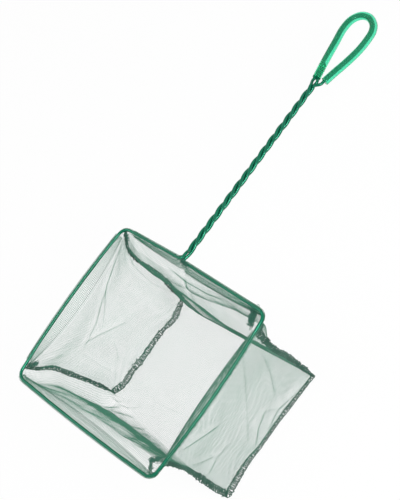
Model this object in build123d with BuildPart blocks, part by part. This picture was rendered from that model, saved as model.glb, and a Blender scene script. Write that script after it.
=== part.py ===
from build123d import *
from math import cos, pi, radians, sin, sqrt, tan
import os

os.makedirs("parts", exist_ok=True)

# Aquarium fish net: one vinyl-coated wire bent into a square hoop, laid up as a
# three-strand handle and closed by a sleeved hanging loop, with a sewn mesh bag.
# The hoop is level, the handle points along +Y and the bag hangs down to z = 0.

# Vinyl-coated wire
wire_diameter = 2.5
wire_fit = 0.15

# Hoop, measured over the meeting points of its four sides
hoop_width = 150.0
hoop_length = 139.3
end_bow = 1.45
side_bow = 3.34
corner_radius = 7.0
root_radius = 3.5

# Handle: three strands, left-hand lay
handle_offset = 10.8
handle_lean = 3.7
handle_droop = 7.3
lay_length = 34.3
lay_turns = 4.9
strand_gap = 0.2
first_strand_angle = 150.0
cut_end_setback = 3.0

# Hanging loop, measured along and across the handle axis
loop_reach = 238.5
loop_shift = 3.1
loop_radius = 13.1
leg_splay = 10.86
sleeve_reach = 182.0
sleeve_spread = 8.7
sleeve_shift = 1.65
sleeve_wall = 0.65
tail_length = 12.0
lead_radius = 6.0

# Mesh bag: its walls dive inwards under the hoop, and the two end walls bend at a waist
bag_depth = 111.75
end_width = 145.0
end_length = 105.0
end_shift = 6.0
side_inset = 4.3
end_inset = 3.0
waist_depth = 27.0
waist_inset = 9.0
cloth = 0.4
cloth_fit = 0.3

# Coarse openings that stand for the mesh
net_bar = 3.0
strip_columns = 8
gusset_columns = 6
lower_rows = 4
end_rows = 6

# Hems round the wire, seams and corner tacks
hem_depth = 9.5
hem_setback = 10.0
seam_diameter = 3.0
tack_thread = 0.6
tack_share = 0.5

# Round sections are drawn as even polygons, and the lay as straight steps
section_sides = 8
steps_per_turn = 12

wire_radius = wire_diameter / 2
hem_bore = wire_radius + wire_fit
hem_radius = hem_bore + cloth
sleeve_bore = 2 * wire_diameter + 3 * wire_fit
sleeve_radius = sleeve_bore / 2 + sleeve_wall
lay_radius = (wire_diameter + strand_gap) / sqrt(3)

# Directions of the handle: along its axis, across it and square to both
lean, droop = radians(handle_lean), radians(handle_droop)
along = Vector(-sin(lean) * cos(droop), cos(lean) * cos(droop), -sin(droop))
across = Vector(cos(lean), sin(lean), 0)
rise = across.cross(along)

# The origin is the middle of the net's box on the ground
loop_sweep = loop_radius * sqrt(along.Y**2 + across.Y**2)
front_reach = loop_reach * along.Y + loop_shift * across.Y + loop_sweep + sleeve_radius
net_length = hoop_length + 2 * end_bow + front_reach + hem_radius
hoop_y = net_length / 2 - front_reach - end_bow - hoop_length / 2
hoop_z = bag_depth
hem_z = hoop_z - hem_depth
waist_z = hoop_z - waist_depth
root = Vector(-handle_offset, hoop_y + hoop_length / 2 + end_bow, hoop_z)


def on_handle(reach, shift, height=0.0):
    return root + along * reach + across * shift + rise * height


def lay_point(angle, reach):
    turned = radians(angle) + 2 * pi * (reach - lay_start) / lay_length
    return on_handle(reach, lay_radius * cos(turned), lay_radius * sin(turned))


def lay_tangent(angle, reach):
    turned = radians(angle) + 2 * pi * (reach - lay_start) / lay_length
    slope = 2 * pi * lay_radius / lay_length
    return (along + (rise * cos(turned) - across * sin(turned)) * slope).normalized()


def save(piece, name):
    piece.part.label = name
    export_step(piece.part, f"parts/{name}.step")


def bent_rod(points, radii, outer, bore=0.0):
    with BuildPart() as rod:
        with BuildLine() as route:
            FilletPolyline(*points, radius=radii)
        start = route.wires()[0]
        with BuildSketch(Plane(origin=start @ 0, z_dir=start % 0)):
            RegularPolygon(outer, section_sides)
            if bore:
                RegularPolygon(bore, section_sides, major_radius=False, mode=Mode.SUBTRACT)
        sweep()
    return rod


# Strand ends: angles round the handle axis at the hoop
lay_start = root_radius + wire_radius
lay_end = lay_start + lay_turns * lay_length
left_angle = first_strand_angle
right_angle = first_strand_angle + 120
return_angle = first_strand_angle + 240


# Three-strand handle
def strand(angle, begin):
    count = round((lay_end - begin) / lay_length * steps_per_turn)
    rings = []
    for index in range(count + 1):
        reach = begin + (lay_end - begin) * index / count
        tangent = lay_tangent(angle, reach)
        side = (across - tangent * across.dot(tangent)).normalized()
        with BuildSketch(Plane(lay_point(angle, reach), x_dir=side, z_dir=tangent)) as ring:
            RegularPolygon(wire_radius, section_sides)
        rings.append(ring.sketch)
    with BuildPart() as body:
        loft(rings, ruled=True)
    return body


save(strand(left_angle, lay_start), "left_handle_strand")
save(strand(right_angle, lay_start), "right_handle_strand")
save(strand(return_angle, lay_start + cut_end_setback), "return_handle_strand")

# Hoop: bowed sides joined by round corners, both ends bent up into the handle
corner_left = Vector(-hoop_width / 2, hoop_y + hoop_length / 2, hoop_z)
corner_right = Vector(hoop_width / 2, hoop_y + hoop_length / 2, hoop_z)
corner_far_right = Vector(hoop_width / 2, hoop_y - hoop_length / 2, hoop_z)
corner_far_left = Vector(-hoop_width / 2, hoop_y - hoop_length / 2, hoop_z)


def bow_height(length, bow):
    return bow / (0.5 + hem_setback / length)


def bow_radius(length, bow):
    return (length / 2 - hem_setback) * length / 2 / bow_height(length, bow)


side_peak = bow_height(hoop_length, side_bow)
far_peak = bow_height(hoop_width, end_bow)
side_radius = bow_radius(hoop_length, side_bow)
far_radius = bow_radius(hoop_width, end_bow)
peak_left = Vector(-hoop_width / 2 - side_peak, hoop_y, hoop_z)
peak_right = Vector(hoop_width / 2 + side_peak, hoop_y, hoop_z)
peak_far = Vector(0, hoop_y - hoop_length / 2 - far_peak, hoop_z)


def root_bend(angle):
    return lay_point(angle, lay_start) - lay_tangent(angle, lay_start) * lay_start


bend_left = root_bend(left_angle)
bend_right = root_bend(right_angle)
hoop_points = [
    lay_point(left_angle, lay_start),
    bend_left,
    corner_left,
    peak_left,
    corner_far_left,
    peak_far,
    corner_far_right,
    peak_right,
    corner_right,
    bend_right,
    lay_point(right_angle, lay_start),
]
hoop_radii = [
    root_radius,
    corner_radius,
    side_radius,
    corner_radius,
    far_radius,
    corner_radius,
    side_radius,
    corner_radius,
    root_radius,
]
save(bent_rod(hoop_points, hoop_radii, wire_radius), "hoop_wire")

# Hanging loop: the sleeve's route, and the wire that lies against its upper wall
tip_reach = loop_reach + loop_radius
shoulder = loop_radius * tan(radians(45 + leg_splay / 2))
wire_lift = (wire_diameter + wire_fit) / 2


def loop_route(height):
    return [
        on_handle(sleeve_reach, sleeve_shift - sleeve_spread / 2, height),
        on_handle(tip_reach, loop_shift - shoulder, height),
        on_handle(tip_reach, loop_shift + shoulder, height),
        on_handle(sleeve_reach, sleeve_shift + sleeve_spread / 2, height),
    ]


def lead(angle, leg_start, leg_next):
    top = lay_point(angle, lay_end)
    bend = top + lay_tangent(angle, lay_end) * lead_radius / 2
    entry = leg_start - (leg_next - leg_start).normalized() * lead_radius / 2
    return [top, bend, entry]


save(bent_rod(loop_route(0), loop_radius, sleeve_radius, sleeve_bore / 2), "loop_sleeve")

route = loop_route(wire_lift)
lead_in = lead(left_angle, route[0], route[1])
lead_out = lead(return_angle, route[3], route[2])
loop_points = lead_in + route[1:3] + lead_out[::-1]
loop_radii = [lead_radius, lead_radius, loop_radius, loop_radius, lead_radius, lead_radius]
save(bent_rod(loop_points, loop_radii, wire_radius), "loop_wire")

route = loop_route(-wire_lift)
tail_end = route[0] + (route[1] - route[0]).normalized() * tail_length
tail_points = lead(right_angle, route[0], route[1]) + [tail_end]
save(bent_rod(tail_points, lead_radius, wire_radius), "tail_wire")


# Cloth strips, drawn level: bowed along the wire, or straight along a panel's edge
def bowed_strip(place, width, bow, thickness):
    half = thickness / 2
    with BuildSketch(place) as strip:
        with BuildLine():
            ThreePointArc((-width / 2, half), (0, bow + half), (width / 2, half))
            Line((width / 2, half), (width / 2, -half))
            ThreePointArc((width / 2, -half), (0, bow - half), (-width / 2, -half))
            Line((-width / 2, -half), (-width / 2, half))
        make_face()
    return strip.sketch


def straight_strip(place, width, thickness):
    with BuildSketch(place) as strip:
        Rectangle(width, thickness)
    return strip.sketch


# Hems: cloth wrapped round the wire, its doubled skirt slanting inwards to the panel
front, far = Vector(0, 1, 0), Vector(0, -1, 0)
left, right = Vector(-1, 0, 0), Vector(1, 0, 0)
skirt_drop = Vector(0, 0, hem_radius - cloth / 2)


def run_along(outward):
    return Vector(outward.Y, -outward.X, 0)


def hem(points, radius, outward, hem_foot):
    run = run_along(outward)
    chord = points[-1] - points[0]
    middle = (points[-1] + points[0]) / 2
    with BuildPart() as body:
        with BuildLine() as line:
            FilletPolyline(*points, radius=radius)
        path = line.wires()[0]
        with BuildSketch(Plane(origin=path @ 0, x_dir=(0, 0, 1), z_dir=path % 0)):
            RegularPolygon(hem_radius, section_sides)
            RegularPolygon(hem_bore, section_sides, major_radius=False, mode=Mode.SUBTRACT)
        sweep()
        brow = Plane(middle - skirt_drop, x_dir=chord, z_dir=chord.cross(outward))
        if radius:
            bow = ((path @ 0.5) - middle).dot(outward)
            upper = bowed_strip(brow, chord.length, bow, 2 * cloth)
        else:
            upper = straight_strip(brow, chord.length, 2 * cloth)
        foot = hem_foot + run * (middle - hem_foot).dot(run)
        lower = straight_strip(Plane(foot, x_dir=run, z_dir=(0, 0, 1)), chord.dot(run), 2 * cloth)
        loft([upper, lower], ruled=True)
    return body


def bowed_hem(corner, peak, next_corner, radius, outward, hem_foot):
    first = corner + (peak - corner).normalized() * hem_setback
    last = next_corner + (peak - next_corner).normalized() * hem_setback
    return hem([first, peak, last], radius, outward, hem_foot)


def straight_hem(corner, bend, hem_foot):
    run = (bend - corner).normalized()
    ends = [corner + run * hem_setback, bend - run * (root_radius + wire_diameter)]
    first, last = sorted(ends, key=lambda point: point.X)
    return hem([first, (first + last) / 2, last], 0, front, hem_foot)


side_x = hoop_width / 2 - side_inset
end_top = hoop_length / 2 - end_inset
front_top = Vector(0, hoop_y + end_top, hem_z)
far_top = Vector(0, hoop_y - end_top, hem_z)
left_top = Vector(-side_x, hoop_y, hem_z)
right_top = Vector(side_x, hoop_y, hem_z)
save(bowed_hem(corner_far_left, peak_left, corner_left, side_radius, left, left_top), "left_hem")
save(bowed_hem(corner_right, peak_right, corner_far_right, side_radius, right, right_top), "right_hem")
save(bowed_hem(corner_far_right, peak_far, corner_far_left, far_radius, far, far_top), "far_hem")
save(straight_hem(corner_left, bend_left, front_top), "handle_hem_left")
save(straight_hem(corner_right, bend_right, front_top), "handle_hem_right")


# Panels: flat facets between level edges, opened by a coarse grid in place of the mesh
def openings(place, width, height, columns, rows):
    across_pitch, down_pitch = (width - net_bar) / columns, (height - net_bar) / rows
    with BuildSketch(place) as grid:
        with GridLocations(across_pitch, down_pitch, columns, rows):
            Rectangle(across_pitch - net_bar, down_pitch - net_bar)
    return grid.sketch


def wall(outward, edges, columns):
    run = run_along(outward)
    strips = [straight_strip(Plane(at, x_dir=run, z_dir=(0, 0, 1)), width, cloth) for at, width in edges]
    with BuildPart() as body:
        loft(strips, ruled=True)
        for upper, lower, rows in zip(edges, edges[1:], (1, lower_rows)):
            at, width = min(upper, lower, key=lambda edge: edge[1])
            middle = (upper[0] + lower[0]) / 2
            middle = middle + run * (at - middle).dot(run)
            reach = abs((upper[0] - lower[0]).dot(outward)) / 2 + cloth
            place = Plane(middle, x_dir=run, z_dir=outward)
            grid = openings(place, width, upper[0].Z - lower[0].Z, columns, rows)
            extrude(grid, amount=reach, both=True, mode=Mode.SUBTRACT)
    return body


end_y = hoop_y + end_shift
corner_step = 2 * (cloth / 2 + cloth_fit)
strip_top, strip_foot = 2 * side_x - corner_step, end_width - corner_step
waist_y = hoop_length / 2 - waist_inset

front_waist = Vector(0, hoop_y + waist_y, waist_z)
front_foot = Vector(0, end_y + end_length / 2 - cloth / 2, cloth)
front_edges = [(front_top, strip_top), (front_waist, strip_top), (front_foot, strip_foot)]
save(wall(front, front_edges, strip_columns), "handle_side_wall")
far_waist = Vector(0, hoop_y - waist_y, waist_z)
far_foot = Vector(0, end_y - end_length / 2 + cloth / 2, cloth)
far_edges = [(far_top, strip_top), (far_waist, strip_top), (far_foot, strip_foot)]
save(wall(far, far_edges, strip_columns), "far_side_wall")


def gusset(outward):
    top = Vector(outward.X * side_x, hoop_y, hem_z)
    waist = Vector(outward.X * side_x, hoop_y, waist_z)
    foot = Vector(outward.X * end_width / 2, end_y, cloth)
    return wall(outward, [(top, 2 * end_top), (waist, 2 * waist_y), (foot, end_length)], gusset_columns)


save(gusset(left), "left_gusset")
save(gusset(right), "right_gusset")

with BuildPart() as end_panel:
    with BuildSketch(Plane(origin=(0, end_y, 0))) as sheet:
        Rectangle(end_width + cloth, end_length)
        add(openings(Plane.XY, end_width, end_length, strip_columns, end_rows), mode=Mode.SUBTRACT)
    extrude(amount=cloth)
save(end_panel, "end_panel")


# Overlock seams: one round each gusset, from hoop corner to hoop corner
def seam(outward):
    gap = (seam_diameter + cloth) / 2 + cloth_fit
    x_top, x_foot = outward * (side_x + gap), outward * (end_width / 2 + gap)
    top_z = hoop_z - hem_bore - tack_thread - seam_diameter / 2
    foot_z = seam_diameter / 2
    half_top, half_waist = hoop_length / 2 - corner_radius / 2, waist_y - seam_diameter
    half_foot = end_length / 2 - seam_diameter
    points = [
        (x_top, hoop_y + half_top, top_z),
        (x_top, hoop_y + half_waist, waist_z),
        (x_foot, end_y + half_foot, foot_z),
        (x_foot, end_y - half_foot, foot_z),
        (x_top, hoop_y - half_waist, waist_z),
        (x_top, hoop_y - half_top, top_z),
    ]
    return bent_rod(points, seam_diameter, seam_diameter / 2)


save(seam(-1), "left_overlock_seam")
save(seam(1), "right_overlock_seam")

# Corner tacks: thread wound round the wire at the four bends of the hoop
with BuildLine() as hoop_route:
    FilletPolyline(*hoop_points, radius=hoop_radii)
bends = hoop_route.edges().filter_by(lambda edge: edge.geom_type == GeomType.CIRCLE)
bends = bends.filter_by(lambda edge: abs(edge.radius - corner_radius) < 0.01)
with BuildPart() as corner_tacks:
    for bend in bends:
        middle = bend.trim((1 - tack_share) / 2, (1 + tack_share) / 2)
        with BuildSketch(Plane(origin=middle @ 0, z_dir=middle % 0)) as wrap:
            RegularPolygon(hem_bore + tack_thread, section_sides)
            RegularPolygon(hem_bore, section_sides, major_radius=False, mode=Mode.SUBTRACT)
        sweep(wrap.sketch, path=middle)
save(corner_tacks, "corner_tacks")
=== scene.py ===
# %% [markdown]
# # An aquarium fish net
# A green wire net for moving fish: a square hoop, a twisted handle, a sleeved hanging loop and a sewn
# mesh bag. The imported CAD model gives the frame; this lesson dresses it. All lengths below are in
# millimetres, measured from the middle of the hoop, with the handle along +Y and the bag below.

import math

import bpy
import numpy as np
from mathutils import Matrix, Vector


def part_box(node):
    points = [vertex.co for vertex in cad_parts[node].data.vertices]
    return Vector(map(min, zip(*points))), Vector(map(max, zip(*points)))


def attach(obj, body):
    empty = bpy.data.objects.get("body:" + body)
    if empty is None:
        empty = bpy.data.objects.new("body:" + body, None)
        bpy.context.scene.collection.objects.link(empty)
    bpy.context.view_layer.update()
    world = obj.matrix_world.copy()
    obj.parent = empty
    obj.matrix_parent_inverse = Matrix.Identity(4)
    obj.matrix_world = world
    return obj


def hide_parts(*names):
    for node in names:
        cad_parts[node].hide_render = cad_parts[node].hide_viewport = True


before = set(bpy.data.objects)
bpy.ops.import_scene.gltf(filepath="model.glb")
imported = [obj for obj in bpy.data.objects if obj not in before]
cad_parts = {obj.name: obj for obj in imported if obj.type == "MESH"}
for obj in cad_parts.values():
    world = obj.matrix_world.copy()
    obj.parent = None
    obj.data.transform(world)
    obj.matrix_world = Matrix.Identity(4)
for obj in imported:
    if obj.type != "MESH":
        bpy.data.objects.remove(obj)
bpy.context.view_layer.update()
BAG_DEPTH = 111.75
low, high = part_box("left_hem")
HOOP = np.array([0.0, (low[1] + high[1]) / 2 * 1000, BAG_DEPTH])
print("hoop centre in mm", HOOP.round(2))


def unit(v):
    return v / np.linalg.norm(v, axis=-1, keepdims=True)


def in_frame(points):
    """Points in mm from the hoop's middle, as metres in the shared frame."""
    return (np.asarray(points, float) + HOOP) / 1000


# %% [markdown]
# ## Shader maths
# A material is a sum of small ideas: a colour, a wear pattern, a fleck. Nodes for them could be wired one
# by one, but then the idea is lost among the links. `Tree` wraps a node tree so that the ideas are
# written as plain arithmetic, with one method for any other node.


# %% Shader tree
class Value:
    """A socket that can be added and multiplied."""

    def __init__(self, tree, socket):
        self.tree, self.socket = tree, socket

    def __add__(self, other):
        return self.tree.math("ADD", self, other)

    def __radd__(self, other):
        return self.tree.math("ADD", other, self)

    def __mul__(self, other):
        return self.tree.math("MULTIPLY", self, other)

    def __rmul__(self, other):
        return self.tree.math("MULTIPLY", other, self)


class Tree:
    """A material's node tree, around its Principled BSDF."""

    def __init__(self, name):
        self.material = bpy.data.materials.new(name)
        self.material.use_nodes = True
        self.nodes = self.material.node_tree.nodes
        self.links = self.material.node_tree.links
        self.bsdf = self.nodes["Principled BSDF"]

    def put(self, socket, value):
        if isinstance(value, Value):
            self.links.new(value.socket, socket)
        else:
            socket.default_value = value

    def node(self, kind, output=0, settings=None, **inputs):
        node = self.nodes.new(kind)
        for key, value in (settings or {}).items():
            setattr(node, key, value)
        for key, value in inputs.items():
            self.put(node.inputs[key.replace("_", " ")], value)
        return Value(self, node.outputs[output])

    def math(self, op, first, second):
        node = self.nodes.new("ShaderNodeMath")
        node.operation = op
        self.put(node.inputs[0], first)
        self.put(node.inputs[1], second)
        return Value(self, node.outputs[0])

    def mix(self, factor, first, second):
        node = self.nodes.new("ShaderNodeMix")
        node.data_type = "RGBA"
        sockets = node.inputs[0], node.inputs[6], node.inputs[7]
        for socket, value in zip(sockets, (factor, first, second)):
            self.put(socket, value)
        return Value(self, node.outputs[2])

    def noise(self, scale, detail):
        place = self.node("ShaderNodeTexCoord", "Object")
        return self.node("ShaderNodeTexNoise", "Fac", Vector=place, Scale=scale, Detail=detail)

    def ramp(self, value, low, high):
        return self.node("ShaderNodeMapRange", Value=value, From_Min=low, From_Max=high)

    def set(self, **inputs):
        for key, value in inputs.items():
            self.put(self.bsdf.inputs[key.replace("_", " ")], value)

    def bump(self, height, strength, distance):
        normal = self.node("ShaderNodeBump", Height=height, Strength=strength, Distance=distance)
        self.put(self.bsdf.inputs["Normal"], normal)


# %% [markdown]
# ## Finishes
# Dip-coated vinyl is glossy, a little uneven and clouded where it has been handled. The sleeve is a
# clear green tube. The net is knitted from fine nylon and sewn with a darker overlock thread. Every pattern
# is a noise in the piece's own space, so no picture is needed and nothing stretches.


# %% Materials
def vinyl():
    dark, light, worn = (0.001, 0.08, 0.04, 1), (0.002, 0.12, 0.062, 1), (0.012, 0.27, 0.155, 1)
    t = Tree("vinyl")
    cloud = t.ramp(t.noise(scale=60, detail=4), 0.3, 0.7)
    haze = t.ramp(t.noise(scale=900, detail=3), 0.45, 0.8)
    t.set(Base_Color=t.mix(haze * 0.15, t.mix(cloud, dark, light), worn))
    t.set(Roughness=0.13 + haze * 0.12, Specular_IOR_Level=0.75, Specular_Tint=(0.2, 1, 0.65, 1))
    t.bump(t.noise(scale=700, detail=2), strength=0.06, distance=0.00012)
    return t.material


def sleeve():
    deep, pale = (0.08, 0.80, 0.46, 1), (0.14, 0.85, 0.53, 1)
    t = Tree("sleeve")
    cloud = t.ramp(t.noise(scale=90, detail=3), 0.3, 0.7)
    scuff = t.ramp(t.noise(scale=1400, detail=2), 0.55, 0.8)
    t.set(Base_Color=t.mix(cloud, deep, pale), Roughness=0.06 + scuff * 0.12)
    t.set(Transmission_Weight=0.85, IOR=1.42, Specular_Tint=(0.1, 0.5, 0.3, 1))
    t.bump(t.noise(scale=300, detail=2), strength=0.06, distance=0.0001)
    return t.material


def nylon(name, dark, light, rough):
    t = Tree(name)
    cloud = t.ramp(t.noise(scale=45, detail=4), 0.3, 0.7)
    fibre = t.ramp(t.noise(scale=2600, detail=2), 0.35, 0.7)
    t.set(Base_Color=t.mix(cloud * 0.5 + fibre * 0.5, dark, light), Roughness=rough + fibre * 0.2)
    return t.material


def steel():
    dull, bright = (0.5, 0.52, 0.5, 1), (0.75, 0.76, 0.74, 1)
    t = Tree("steel")
    grain = t.noise(scale=3000, detail=2)
    t.set(Base_Color=t.mix(grain, dull, bright), Metallic=1.0, Roughness=0.25 + grain * 0.2)
    return t.material


VINYL, SLEEVE, STEEL = vinyl(), sleeve(), steel()
MESH = nylon("mesh", dark=(0.03, 0.155, 0.095, 1), light=(0.07, 0.28, 0.18, 1), rough=0.5)
THREAD = nylon("thread", dark=(0.014, 0.058, 0.04, 1), light=(0.055, 0.145, 0.105, 1), rough=0.6)
TACK = nylon("tack_thread", dark=(0.01, 0.085, 0.053, 1), light=(0.05, 0.20, 0.14, 1), rough=0.5)
print("finishes:", [m.name for m in (VINYL, SLEEVE, STEEL, MESH, THREAD, TACK)])

# %% [markdown]
# ## Tubes along lines
# Wire, mesh and thread are all a small section carried along a line. Python lays the lines; one Geometry
# Nodes tree turns them to curves, holds their normals to the cloth they lie in, carries a section along
# them and sets the finish. One tree serves every piece, and the result is kept as a plain mesh.


# %% Tube tree
def tube_tree():
    tree = bpy.data.node_groups.new("tubes", "GeometryNodeTree")
    new, link, socket = tree.nodes.new, tree.links.new, tree.interface.new_socket
    socket("Lines", in_out="INPUT", socket_type="NodeSocketGeometry")
    socket("Tubes", in_out="OUTPUT", socket_type="NodeSocketGeometry")
    kinds = {"Width": "Float", "Depth": "Float", "Sides": "Int"}
    kinds |= {"Round": "Bool", "Smooth": "Bool", "Finish": "Material"}
    names = {}
    for name, kind in kinds.items():
        names[name] = socket(name, in_out="INPUT", socket_type="NodeSocket" + kind).identifier
    source, result = new("NodeGroupInput"), new("NodeGroupOutput")
    given = source.outputs
    curve, turn = new("GeometryNodeMeshToCurve"), new("GeometryNodeSetCurveNormal")
    normal, sweep = new("GeometryNodeInputNamedAttribute"), new("GeometryNodeCurveToMesh")
    flat, circle = new("GeometryNodeCurvePrimitiveQuadrilateral"), new("GeometryNodeCurvePrimitiveCircle")
    half, profile = new("ShaderNodeMath"), new("GeometryNodeSwitch")
    shade, real = new("GeometryNodeSetShadeSmooth"), new("GeometryNodeRealizeInstances")
    paint = new("GeometryNodeSetMaterial")
    normal.data_type = "FLOAT_VECTOR"
    normal.inputs["Name"].default_value = "across"
    turn.mode, half.operation, profile.input_type = "FREE", "MULTIPLY", "GEOMETRY"
    half.inputs[1].default_value = 0.5
    sweep.inputs["Fill Caps"].default_value = True
    link(given["Depth"], flat.inputs["Width"])
    link(given["Width"], flat.inputs["Height"])
    link(given["Width"], half.inputs[0])
    link(half.outputs[0], circle.inputs["Radius"])
    link(given["Sides"], circle.inputs["Resolution"])
    link(given["Round"], profile.inputs["Switch"])
    link(flat.outputs[0], profile.inputs["False"])
    link(circle.outputs[0], profile.inputs["True"])
    link(given["Lines"], curve.inputs[0])
    link(curve.outputs[0], turn.inputs["Curve"])
    link(normal.outputs["Attribute"], turn.inputs["Normal"])
    link(turn.outputs[0], sweep.inputs["Curve"])
    link(profile.outputs[0], sweep.inputs["Profile Curve"])
    link(sweep.outputs[0], shade.inputs[0])
    link(given["Smooth"], shade.inputs["Shade Smooth"])
    link(shade.outputs[0], real.inputs[0])
    link(real.outputs[0], paint.inputs["Geometry"])
    link(given["Finish"], paint.inputs["Material"])
    link(paint.outputs[0], result.inputs[0])
    return tree, names


TUBES, INPUTS = tube_tree()
print("tube inputs:", list(INPUTS))

# %% [markdown]
# The lines go in as a mesh of loose edges, with the cloth's normal kept on every point. The modifier's
# inputs are set, the result is read back as a new mesh, and the carrier of the lines is thrown away.


# %% Tube maker
def plain(name, carrier):
    bpy.context.view_layer.update()
    graph = bpy.context.evaluated_depsgraph_get()
    mesh = bpy.data.meshes.new_from_object(carrier.evaluated_get(graph))
    bpy.data.objects.remove(carrier)
    piece = bpy.data.objects.new(name, mesh)
    bpy.context.collection.objects.link(piece)
    return piece


def tubes(name, lines, normals, section, material, smooth=False):
    """section is (width, depth) of a flat thread, or (diameter, 0, sides) of a round one."""
    points = np.concatenate([in_frame(line) for line in lines])
    edges, begin = [], 0
    for line in lines:
        steps = np.arange(begin, begin + len(line) - 1)
        edges.append(np.stack([steps, steps + 1], 1))
        begin += len(line)
    mesh = bpy.data.meshes.new(name + "_lines")
    mesh.from_pydata(points, np.concatenate(edges), [])
    across = mesh.attributes.new("across", "FLOAT_VECTOR", "POINT")
    across.data.foreach_set("vector", np.concatenate(normals).ravel())
    carrier = bpy.data.objects.new(name + "_lines", mesh)
    bpy.context.collection.objects.link(carrier)
    modifier = carrier.modifiers.new("tubes", "NODES")
    modifier.node_group = TUBES
    is_round = len(section) == 3
    given = {"Width": section[0] / 1000, "Depth": section[1] / 1000, "Sides": section[2] if is_round else 4}
    given |= {"Round": is_round, "Smooth": smooth, "Finish": material}
    for key, value in given.items():
        modifier[INPUTS[key]] = value
    piece = plain(name, carrier)
    print(name, "lines", len(lines), "faces", len(piece.data.polygons))
    return piece


# %% [markdown]
# ## Lines and arcs
# The wire is bent on pegs: straight runs joined by round bends. `bent` rounds the corners of a polyline
# the same way, and `smooth_line` runs a soft curve through points, for cloth and for what is bent by hand.


# %% Line makers
def bent(points, radii, step):
    """A polyline with round corners; step is the angle between points on a bend."""
    points = [np.array(p, float) for p in points]
    out = [points[0]]
    for i, radius in enumerate(radii, 1):
        a, b = unit(points[i - 1] - points[i]), unit(points[i + 1] - points[i])
        half = math.acos(np.clip(a @ b, -1, 1)) / 2
        turn = math.pi - 2 * half
        centre = points[i] + unit(a + b) * radius / math.sin(half)
        first = points[i] + a * radius / math.tan(half) - centre
        side = unit(-a)
        count = max(6, int(turn / step))
        for k in range(count + 1):
            angle = turn * k / count
            out.append(centre + first * math.cos(angle) + side * radius * math.sin(angle))
    return np.array(out + [points[-1]])


def resample(line, count):
    line = np.asarray(line, float)
    run = np.concatenate([[0], np.cumsum(np.linalg.norm(np.diff(line, axis=0), axis=1))])
    at = np.linspace(0, run[-1], count)
    return np.stack([np.interp(at, run, line[:, k]) for k in range(line.shape[1])], 1)


def length(line):
    return np.linalg.norm(np.diff(line, axis=0), axis=1).sum()


def smooth_line(points, count):
    """A soft curve through points, as an even line of count points."""
    p = np.array(points, float)
    p = np.concatenate([[2 * p[0] - p[1]], p, [2 * p[-1] - p[-2]]])
    t = np.linspace(0, 1, 24, endpoint=False)[:, None]
    out = []
    for i in range(1, len(p) - 2):
        a, b, c, d = p[i - 1], p[i], p[i + 1], p[i + 2]
        square, cube = 2 * a - 5 * b + 4 * c - d, 3 * b - a - 3 * c + d
        out.append(0.5 * (2 * b + (c - a) * t + square * t**2 + cube * t**3))
    return resample(np.concatenate(out + [p[-2:-1]]), count)


# %% [markdown]
# ## The handle
# The handle is a left-hand lay of three strands of one coated wire. Twisted wire is a helix, so it is written
# as one: an angle and a reach along the handle give a point. The handle leans a little and droops.

# %% Handle lay
WIRE = 2.5
HOOP_WIDTH = 150
HOOP_LENGTH = 139.3
END_BOW = 1.45
HANDLE_OFFSET = 10.8
LEAN, DROOP = math.radians(3.7), math.radians(7.3)
LAY = 34.3
TURNS = 4.9
STEPS_PER_TURN = 30
STRAND_GAP = 0.2
LAY_START = 4.75
LAY_END = LAY_START + TURNS * LAY
LAY_RADIUS = (WIRE + STRAND_GAP) / math.sqrt(3)
ALONG = np.array([-math.sin(LEAN) * math.cos(DROOP), math.cos(LEAN) * math.cos(DROOP), -math.sin(DROOP)])
ACROSS = np.array([math.cos(LEAN), math.sin(LEAN), 0])
RISE = np.cross(ACROSS, ALONG)
ROOT = np.array([-HANDLE_OFFSET, HOOP_LENGTH / 2 + END_BOW, 0])
LEFT, RIGHT, RETURN = 150, 270, 390


def on_handle(reach, shift, height=0.0):
    return ROOT + ALONG * reach + ACROSS * shift + RISE * height


def lay(angle, reach):
    turned = math.radians(angle) + 2 * math.pi * (reach - LAY_START) / LAY
    return on_handle(reach, LAY_RADIUS * math.cos(turned), LAY_RADIUS * math.sin(turned))


def lay_tangent(angle, reach, nudge=0.01):
    return unit(lay(angle, reach + nudge) - lay(angle, reach - nudge))


def strand(angle, begin, end):
    count = int(abs(end - begin) / LAY * STEPS_PER_TURN)
    return [lay(angle, begin + (end - begin) * k / count) for k in range(count + 1)]


print("handle runs from", LAY_START, "to", round(LAY_END, 1), "mm")

# %% [markdown]
# ## The hoop
# The hoop is a square of wire with bowed sides and round corners. Both of its ends bend up into the
# handle, so its line starts and stops on two of the strands.

# %% Hoop
SIDE_BOW = 3.34
CORNER_BEND = 7
ROOT_BEND = 2.2
STRAIGHT_END = 10
BEND_STEP = 0.16


def bowed(size, bow):
    """The peak that a side's two straight runs would meet at, and the radius that rounds it."""
    peak = bow / (0.5 + STRAIGHT_END / size)
    return peak, (size / 2 - STRAIGHT_END) * size / 2 / peak


side_peak, side_radius = bowed(HOOP_LENGTH, SIDE_BOW)
far_peak, far_radius = bowed(HOOP_WIDTH, END_BOW)
half_width, half_length = HOOP_WIDTH / 2, HOOP_LENGTH / 2
root_left = lay(LEFT, LAY_START) - lay_tangent(LEFT, LAY_START) * LAY_START
root_right = lay(RIGHT, LAY_START) - lay_tangent(RIGHT, LAY_START) * LAY_START
hoop_corners = [
    lay(LEFT, LAY_START),
    root_left,
    (-half_width, half_length, 0),
    (-half_width - side_peak, 0, 0),
    (-half_width, -half_length, 0),
    (0, -half_length - far_peak, 0),
    (half_width, -half_length, 0),
    (half_width + side_peak, 0, 0),
    (half_width, half_length, 0),
    root_right,
    lay(RIGHT, LAY_START),
]
round_side = [CORNER_BEND, side_radius, CORNER_BEND]
hoop = bent(hoop_corners, [ROOT_BEND, *round_side, far_radius, *round_side, ROOT_BEND], BEND_STEP)
print("hoop line", round(length(hoop)), "mm")

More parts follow.
